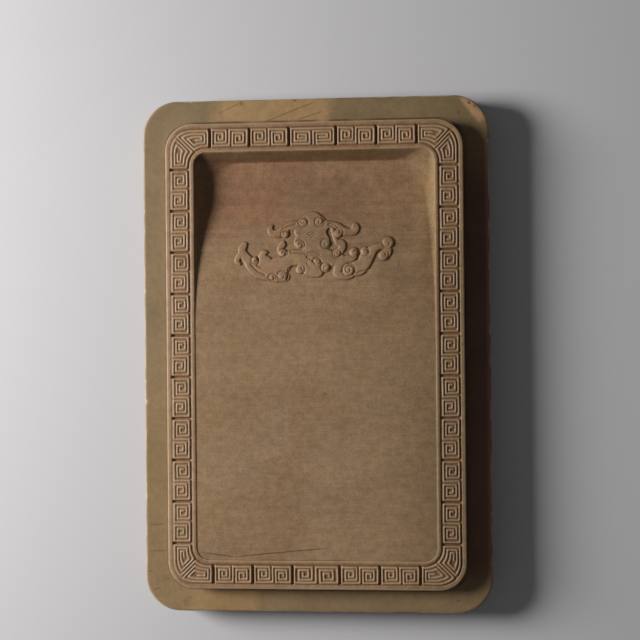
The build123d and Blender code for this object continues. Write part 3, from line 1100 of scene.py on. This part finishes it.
# Carved stone. A tint is the ramps of its patch and its factors, a stain its middle,
# radius, share and colour, and a vein its start, end, sway and the fade of its ends.
dark_stain = (0.07, 0.040, 0.022)
red_stain = (0.30, 0.140, 0.075)
in_well = ("Z", rim_z - 0.25, rim_z - 0.5)
end_cove_y = well_half_length - pool_end_cove
end_cove_start = ("Y", end_cove_y - 0.3, end_cove_y + 0.5)
brown_tints = (
    ((("Y", -4.0, 24.0),), (0.95, 0.91, 0.87)),
    # Painted shade: the floor darker towards the lower right, away from the lamp
    ((("X", 19.0, 36.0), ("Y", 42.0, 22.0)), (0.84, 0.82, 0.78)),
    # Painted highlight: the right wall of the well, which faces the lamp, lighter
    ((("X", 27.0, 33.0), ("Y", 28.0, 46.0), in_well), (1.16, 1.21, 1.18)),
    # Painted shade: a darker band at the foot of that lit wall
    ((("X", 31.0, 32.8), ("Y", 22.0, 34.0), in_well), (0.78, 0.80, 0.77)),
    # Painted shade: the end wall of the pool, which faces away from the lamp, darker
    ((end_cove_start, ("Z", rim_z - 0.2, rim_z - 0.5), ("X", 33.0, 20.0)), (0.76, 0.74, 0.72)),
)
brown_stains = (
    ((-13.0, 24.6), 3.2, 0.45, red_stain),
    ((-9.0, 21.5), 1.6, 0.25, red_stain),
    ((24.2, 25.7), 0.5, 0.6, dark_stain),
    ((3.0, -11.0), 0.5, 0.35, dark_stain),
    ((-20.5, -43.0), 0.6, 0.3, dark_stain),
    ((-32.4, -53.5), 1.8, 0.30, red_stain),
    ((-39.0, 19.0), 1.5, 0.4, red_stain),
    ((-38.5, -38.0), 2.0, 0.5, red_stain),
)
vein_y = -56.6
brown_veins = (
    ((-33.2, vein_y + 0.5), (-22.4, vein_y - 0.9), 0.15, 3.0),
    ((-25.5, vein_y - 0.9), (5.0, vein_y + 2.1), 0.15, 6.0),
)


def brown_tone(stone):
    """Brown and beige clouds, redder in the pool, with the patches of the light's fall."""
    cloud = stone.rise(stone.noise(26.0, 3.0, 0.55, 0.6), 0.34, 0.68)
    colour = stone.mix(cloud, (0.226, 0.136, 0.066), (0.250, 0.158, 0.084))
    colour = stone.mix(stone.patch(("X", -5.0, 45.0)), colour, (0.224, 0.142, 0.070))
    deep = stone.patch(("Z", rim_z - floor_step - 0.6, rim_z - pool_depth))
    clouded = stone.rise(stone.noise(14.0, 2.0), 0.3, 0.55)
    leftwards = stone.rise(stone.axes["X"], -15.0, 35.0, 1.0, 0.35)
    colour = stone.mix(stone.times(deep, clouded, leftwards), colour, (0.215, 0.110, 0.054))
    colour = stone.tint(stone.spot((7.0, 34.0), 22.0), colour, (0.86, 0.86, 0.86))
    for ramps, factors in brown_tints:
        colour = stone.tint(stone.patch(*ramps), colour, factors)
    return colour


def brown_stone():
    """The carved stone: layered along its height, mottled, veined, honed and handled, with painted
    shade in its grooves and hollows and painted highlight on its ridges and arrises.
    """
    stone = Stone("brown_stone")
    grain = stone.noise(0.35, 2.0, 0.7)
    layers = stone.swing(stone.noise(1.0, 3.0, 0.6, 0.4, (0.03, 0.06, 5.0)), 0.06, 0.35, 0.65)
    streaks = stone.swing(stone.noise(1.0, 2.0, 0.6, 0.3, (0.10, 1.5, 1.5)), 0.05)
    mottle = stone.swing(stone.noise(2.2, 5.0, 0.66), 0.14)
    pits = stone.rise(stone.noise(0.5, 1.0), 0.70, 0.78, 1.0, 0.72)
    tone = stone.times(layers, streaks, mottle, stone.swing(grain, 0.16), pits)
    colour = stone.dim(brown_tone(stone), tone)
    veins = stone.times(stone.lines(0.27, brown_veins), 0.9)
    colour = stone.mix(veins, colour, (0.092, 0.050, 0.022))
    colour = stone.stained(colour, brown_stains)
    # Painted shade: grooves, mask recesses and the floor's crease darker the deeper they lie
    groove = stone.rise(stone.attribute("cut"), 0.05, 0.30)
    colour = stone.tint(groove, colour, (0.68, 0.54, 0.43))
    # Wear and painted highlight lighten the ridges and arrises; their colour is darker on the
    # right, as painted shade on the side away from the lamp
    handled = stone.rise(stone.noise(3.0, 2.0), 0.3, 0.6, 0.5, 1.0)
    wear_and_highlight = stone.times(stone.attribute("wear_and_highlight"), handled, 0.64)
    right_side_shade = stone.patch(("X", 25.0, 40.0))
    rubbed = stone.mix(right_side_shade, (0.392, 0.258, 0.153), (0.30, 0.194, 0.120))
    colour = stone.mix(wear_and_highlight, colour, rubbed)
    matt = stone.times(stone.patch(("X", 26.0, 31.0), in_well), 0.34)
    roughness = stone.math("ADD", stone.rise(stone.noise(5.0), 0.3, 0.7, 0.52, 0.68), matt)
    return stone.finish(colour, roughness, grain)


# Base stone: the tan band with its slanted sides, then hairs and stains in rows as above
tan_left, tan_right = -32.0, -7.0
tan_slants = (0.07, 0.163)
# Painted shade: the right flange, in the rim's shadow, darker and redder
right_flange_shade = (("X", 40.0, 44.0), ("Y", 66.0, 45.0), ("Y", -68.0, -58.0))
base_hairs = (
    ((-28.0, 70.1), (-21.0, 73.2), 0.5, 3.0),
    ((-49.4, -49.0), (-44.0, -48.7), 0.4, 2.0),
    ((-15.0, 67.1), (1.0, 73.2), 0.4, 2.0),
    ((-5.2, 67.6), (3.2, 70.2), 0.4, 2.0),
    ((-49.3, -56.8), (-42.8, -56.5), 0.4, 2.0),
    ((-48.2, -68.0), (-45.4, -67.2), 0.4, 2.0),
    ((-49.4, -62.5), (-47.9, -62.3), 0.4, 2.0),
)
base_stains = (
    ((-44.0, -64.5), 1.3, 0.30, dark_stain),
    ((-38.1, -71.2), 1.8, 0.26, dark_stain),
    ((-21.0, 73.1), 0.8, 0.55, dark_stain),
    ((-5.4, 73.7), 0.9, 0.6, dark_stain),
    ((41.6, 68.9), 0.7, 0.7, dark_stain),
    ((44.5, 71.7), 0.6, 0.8, (0.10, 0.022, 0.014)),
    ((46.0, 70.7), 0.6, 0.8, (0.10, 0.022, 0.014)),
    ((40.2, -70.3), 0.6, 0.5, dark_stain),
    ((-24.0, 70.5), 3.0, 0.35, (0.36, 0.185, 0.085)),
    ((3.2, 69.5), 1.8, 0.30, (0.34, 0.170, 0.080)),
)


def olive_tone(stone):
    """Olive on the left, a tan band, darker olive on the right of it, and painted shade, darker
    and redder, on the right flange.
    """
    cloud = stone.rise(stone.noise(17.0, 3.0, 0.55, 0.5), 0.34, 0.66)
    ragged = stone.rise(stone.noise(24.0), 0.2, 0.8, -5.0, 5.0)
    x = stone.math("ADD", stone.axes["X"], ragged)
    slants = (stone.times(stone.axes["Y"], slant) for slant in tan_slants)
    low, high = (stone.math("SUBTRACT", x, slant) for slant in slants)
    colour = stone.mix(cloud, (0.172, 0.117, 0.053), (0.188, 0.126, 0.060))
    colour = stone.tint(stone.patch(("Y", 5.0, -25.0)), colour, (1.16, 1.11, 1.07))
    tan = stone.times(
        stone.rise(low, tan_left - 3, tan_left + 3),
        stone.rise(high, tan_right - 3, tan_right + 1, 1.0, 0.0),
    )
    colour = stone.mix(tan, colour, (0.272, 0.165, 0.070))
    olive = stone.mix(cloud, (0.152, 0.102, 0.047), (0.176, 0.118, 0.056))
    olive = stone.tint(stone.patch(("Y", 0.0, -60.0)), olive, (1.18, 1.14, 1.17))
    colour = stone.mix(stone.rise(high, tan_right - 2, tan_right + 2), colour, olive)
    # Painted shade on the right flange
    return stone.tint(stone.patch(*right_flange_shade), colour, (0.70, 0.46, 0.58))


def yellow_green_stone():
    """The base: olive and tan, with a streak, hairlines, stains, arrises lighter from wear and
    painted highlight, painted shade on the right flange and a darker band along the seam.
    """
    stone = Stone("yellow_green_stone")
    streak = stone.line(1.8, (41.8, 74.8), (49.2, 66.0), 1.2, 2.5)
    colour = stone.mix(stone.times(streak, 0.85), olive_tone(stone), (0.37, 0.215, 0.105))
    hairs = stone.times(stone.lines(0.3, base_hairs), 0.56)
    colour = stone.mix(hairs, colour, (0.095, 0.055, 0.022))
    colour = stone.stained(colour, base_stains, flange_z)
    grain = stone.noise(0.35, 2.0, 0.7)
    layers = stone.swing(stone.noise(1.0, 3.0, 0.6, 0.6, (0.05, 0.05, 1.2)), 0.06)
    mottle = stone.swing(stone.noise(2.2, 5.0, 0.66), 0.07)
    colour = stone.dim(colour, stone.times(layers, mottle, stone.swing(grain, 0.08)))
    # Arrises and chips lighter: wear, with painted highlight on the arrises
    wear_and_highlight = stone.rise(stone.attribute("wear_and_highlight"), 0.2, 1.2, 0.0, 0.8)
    colour = stone.mix(wear_and_highlight, colour, (0.41, 0.32, 0.225))
    # The flange darker along the seam round the stone
    seam = stone.times(stone.attribute("seam"), 0.8)
    colour = stone.mix(seam, colour, (0.060, 0.028, 0.014))
    return stone.finish(colour, stone.rise(stone.noise(5.0), 0.3, 0.7, 0.50, 0.66), grain)


def plain(name, colour, roughness):
    material = bpy.data.materials.new(name)
    material.use_nodes = True
    shader = material.node_tree.nodes["Principled BSDF"]
    shader.inputs["Base Color"].default_value = (*colour, 1)
    shader.inputs["Roughness"].default_value = roughness
    return material


ink_stone = make_ink_stone()
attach(ink_stone, "stone")
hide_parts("ink_stone")
ink_stone.data.materials.append(brown_stone())

base = make_base()
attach(base, "base")
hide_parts("base")
base.data.materials.append(yellow_green_stone())


# Camera, floor and light. A lamp's own size is in metres and its energy in watts.

camera_place = (25.03, 8.43, 324.64)
camera_degrees = (0.253, 4.296, -0.508)
floor_reach_metres = 3.0
key_distance_metres = 0.52
key_elevation_degrees = 28
key_azimuth_degrees = 170.5

camera_data = bpy.data.cameras.new("camera")
camera_data.sensor_width = 36.0
camera_data.lens = 61.88
camera = add_object("camera", camera_data)
camera.location = Vector(camera_place) * MM
camera.rotation_euler = Euler([math.radians(a) for a in camera_degrees])
bpy.context.scene.camera = camera

floor_mesh = bpy.data.meshes.new("floor")
floor_signs = ((-1, -1), (1, -1), (1, 1), (-1, 1))
floor_corners = [(x * floor_reach_metres, y * floor_reach_metres, 0) for x, y in floor_signs]
floor_mesh.from_pydata(floor_corners, [], [(0, 1, 2, 3)])
floor = add_object("floor", floor_mesh)
floor.data.materials.append(plain("floor", (0.46, 0.45, 0.456), 0.9))

key_data = bpy.data.lights.new("key", "AREA")
key_data.shape = "DISK"
key_data.size = 0.21
key_data.energy = 4.9
key = add_object("key", key_data)
elevation = math.radians(key_elevation_degrees)
azimuth = math.radians(key_azimuth_degrees)
level_distance = key_distance_metres * math.cos(elevation)
key.location = (
    level_distance * math.cos(azimuth),
    level_distance * math.sin(azimuth),
    key_distance_metres * math.sin(elevation),
)
key.rotation_euler = (-key.location).to_track_quat("-Z", "Y").to_euler()

world = bpy.data.worlds.new("world")
bpy.context.scene.world = world
world.use_nodes = True
world.node_tree.nodes["Background"].inputs["Color"].default_value = (1, 1, 1, 1)
world.node_tree.nodes["Background"].inputs["Strength"].default_value = 0.12
bpy.context.scene.view_settings.view_transform = "Standard"
